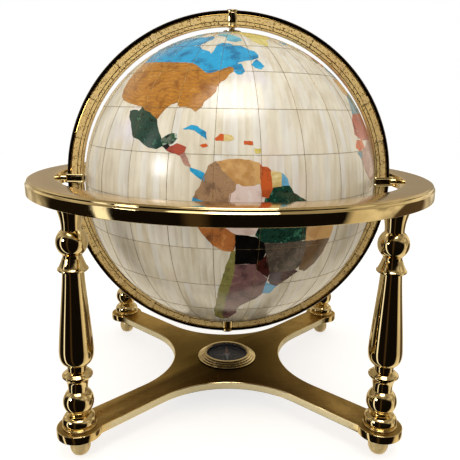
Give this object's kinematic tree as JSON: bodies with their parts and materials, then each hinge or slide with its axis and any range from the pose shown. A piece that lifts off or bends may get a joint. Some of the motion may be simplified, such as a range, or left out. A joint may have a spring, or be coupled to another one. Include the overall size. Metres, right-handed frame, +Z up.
{
  "type": "desktop globe on stand",
  "caption": "Terrestrial globe in a swinging meridian ring, held by a flat horizon ring on four turned legs over a cross-shaped base plate with a small compass.",
  "frame": {"origin": "centre of the footprint, on the surface the feet stand on, under the globe's axle", "axes": "+Z up along the globe's axle; +X from one swing pin to the other, to the viewer's right; -Y towards the viewer"},
  "size_m": [0.4538, 0.4538, 0.4441],
  "materials": {
    "polished_brass": "mirror polished, lacquered",
    "satin_brass": "satin top, polished edge",
    "antique_brass": "engraved and antiqued, dark rim",
    "brushed_brass": "brushed, browned",
    "plain_steel": "plain turned",
    "mother_of_pearl": "polished shell and stone inlay",
    "cast_resin": "as cast",
    "black_dial": "matt black card",
    "needle_enamel": "enamelled",
    "clear_lens": "clear"
  },
  "bodies": {
    "stand": {"base_plate": "brushed_brass", "foot_front_left": "polished_brass", "foot_front_right": "polished_brass", "foot_back_left": "polished_brass", "foot_back_right": "polished_brass", "leg_dome_front_left": "polished_brass", "leg_dome_front_right": "polished_brass", "leg_dome_back_left": "polished_brass", "leg_dome_back_right": "polished_brass", "leg_knop_front_left": "polished_brass", "leg_knop_front_right": "polished_brass", "leg_knop_back_left": "polished_brass", "leg_knop_back_right": "polished_brass", "leg_vase_front_left": "polished_brass", "leg_vase_front_right": "polished_brass", "leg_vase_back_left": "polished_brass", "leg_vase_back_right": "polished_brass", "leg_capital_front_left": "polished_brass", "leg_capital_front_right": "polished_brass", "leg_capital_back_left": "polished_brass", "leg_capital_back_right": "polished_brass", "tie_rod_front_left": "plain_steel", "tie_rod_front_right": "plain_steel", "tie_rod_back_left": "plain_steel", "tie_rod_back_right": "plain_steel", "horizon_ring": "satin_brass", "swing_pin_left": "polished_brass", "swing_pin_right": "polished_brass", "compass_housing": "polished_brass", "compass_dial": "black_dial", "compass_pivot": "plain_steel", "compass_lens": "clear_lens"},
    "meridian": {"meridian_ring": "antique_brass", "swing_collar_left": "polished_brass", "swing_collar_right": "polished_brass", "axle": "plain_steel"},
    "globe": {"globe_shell_north": "mother_of_pearl", "globe_shell_south": "mother_of_pearl", "joining_band": "cast_resin", "pole_bush_north": "polished_brass", "pole_bush_south": "polished_brass"},
    "needle": {"compass_needle": "needle_enamel"}
  },
  "joints": [
    {"name": "meridian_swing", "type": "hinge", "parent": "stand", "child": "meridian", "pos_m": [0, 0, 0.255], "axis": [1, 0, 0], "continuous": true},
    {"name": "globe_spin", "type": "hinge", "parent": "meridian", "child": "globe", "pos_m": [0, 0, 0.255], "axis": [0, 0, 1], "continuous": true},
    {"name": "compass_needle_turn", "type": "hinge", "parent": "stand", "child": "needle", "pos_m": [0, 0, 0.0341], "axis": [0, 0, 1], "continuous": true}
  ]
}
